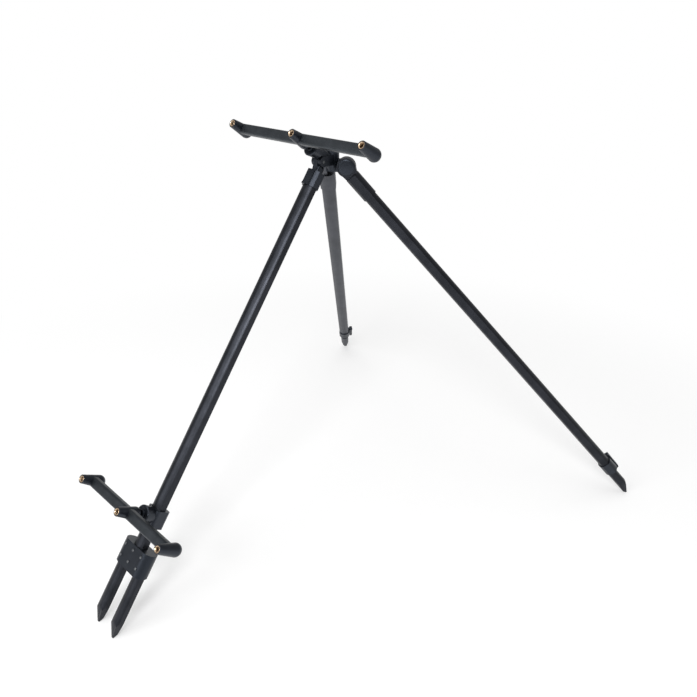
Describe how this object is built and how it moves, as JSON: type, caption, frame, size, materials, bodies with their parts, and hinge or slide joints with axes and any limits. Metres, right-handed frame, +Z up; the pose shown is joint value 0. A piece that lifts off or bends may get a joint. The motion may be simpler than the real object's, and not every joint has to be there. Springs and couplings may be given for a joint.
{
  "type": "surf rod tripod",
  "caption": "Folding beach tripod for fishing rods: a long leg with a twin-spike foot, hinged side legs and cross bars with threaded brass sockets for rod rests.",
  "frame": {"origin": "centre of the bounding box on the ground", "axes": "+Z up, +X away from the long leg, both bars along Y"},
  "size_m": [1.1358, 1.0132, 0.8323],
  "materials": {
    "anodised": "matt charcoal anodised",
    "moulded": "fine-grained black moulding",
    "brass": "turned brass",
    "steel": "dull steel"
  },
  "bodies": {
    "head": {"head_body": "moulded", "long_hinge_pin": "steel", "right_hinge_pin": "steel", "rear_hinge_pin": "steel"},
    "front_bar": {"front_bar_boss_left": "moulded", "front_bar_boss_middle": "moulded", "front_bar_boss_right": "moulded", "front_bar_insert_left": "brass", "front_bar_insert_middle": "brass", "front_bar_insert_right": "brass", "front_bar_tube_left": "anodised", "front_bar_tube_right": "anodised", "front_bar_neck": "moulded", "front_bar_bolt": "steel"},
    "long_leg": {"long_leg_socket": "moulded", "long_leg_tube": "anodised", "spike_block": "moulded", "twin_spike_left": "anodised", "twin_spike_right": "anodised", "block_screw_1": "steel", "block_screw_2": "steel", "block_screw_3": "steel", "block_screw_4": "steel", "block_screw_5": "steel", "block_screw_6": "steel"},
    "bar_clamp": {"rear_bar_clamp": "moulded"},
    "rear_bar": {"rear_bar_boss_left": "moulded", "rear_bar_boss_middle": "moulded", "rear_bar_boss_right": "moulded", "rear_bar_insert_left": "brass", "rear_bar_insert_middle": "brass", "rear_bar_insert_right": "brass", "rear_bar_tube_left": "anodised", "rear_bar_tube_right": "anodised", "rear_bar_neck": "moulded", "rear_bar_bolt": "steel"},
    "right_leg": {"right_leg_socket": "moulded", "right_hinge_cap": "moulded", "right_leg_outer_tube": "anodised", "right_leg_clamp": "moulded", "right_leg_lever_pin": "steel"},
    "right_foot": {"right_leg_inner_tube": "anodised", "right_leg_bush": "moulded", "right_leg_spike": "anodised"},
    "right_lever": {"right_leg_lever": "moulded"},
    "rear_leg": {"rear_leg_socket": "moulded", "rear_hinge_cap": "moulded", "rear_leg_outer_tube": "anodised", "rear_leg_clamp": "moulded", "rear_leg_lever_pin": "steel"},
    "rear_foot": {"rear_leg_inner_tube": "anodised", "rear_leg_bush": "moulded", "rear_leg_spike": "anodised"},
    "rear_lever": {"rear_leg_lever": "moulded"}
  },
  "joints": [
    {"name": "long_leg_fold", "type": "hinge", "parent": "head", "child": "long_leg", "pos_m": [0.01164, 0.04258, 0.76643], "axis": [0, -1, 0], "range_deg": [0, 36]},
    {"name": "bar_clamp_slide", "type": "slide", "parent": "long_leg", "child": "bar_clamp", "axis": [0.6143, 0, 0.7891], "range_m": [-0.035, 0.35]},
    {"name": "front_bar_swivel", "type": "hinge", "parent": "head", "child": "front_bar", "pos_m": [-0.01024, 0.04258, 0.79616], "axis": [-0.849, 0, 0.5284], "range_deg": [-90, 90]},
    {"name": "rear_bar_swivel", "type": "hinge", "parent": "bar_clamp", "child": "rear_bar", "pos_m": [-0.45664, 0.04258, 0.20788], "axis": [-0.7891, 0, 0.6143], "range_deg": [-90, 90]},
    {"name": "right_leg_fold", "type": "hinge", "parent": "head", "child": "right_leg", "pos_m": [0.05734, 0.01508, 0.75443], "axis": [0.7771, 0.6293, 0], "range_deg": [0, 38]},
    {"name": "right_leg_slide", "type": "slide", "parent": "right_leg", "child": "right_foot", "axis": [0.4234, -0.5228, -0.7399], "range_m": [0, 0.55]},
    {"name": "right_lever_flip", "type": "hinge", "parent": "right_leg", "child": "right_lever", "pos_m": [0.45826, -0.44664, 0.08801], "axis": [0.4656, -0.575, 0.6728], "range_deg": [0, 100]},
    {"name": "rear_leg_fold", "type": "hinge", "parent": "head", "child": "rear_leg", "pos_m": [0.05734, 0.07008, 0.75443], "axis": [-0.6494, 0.7604, 0], "range_deg": [0, 38]},
    {"name": "rear_leg_slide", "type": "slide", "parent": "rear_leg", "child": "rear_foot", "axis": [0.5116, 0.4369, -0.7399], "range_m": [0, 0.55]},
    {"name": "rear_lever_flip", "type": "hinge", "parent": "rear_leg", "child": "rear_lever", "pos_m": [0.53057, 0.44664, 0.09541], "axis": [-0.5626, -0.4805, -0.6728], "range_deg": [0, 100]}
  ]
}
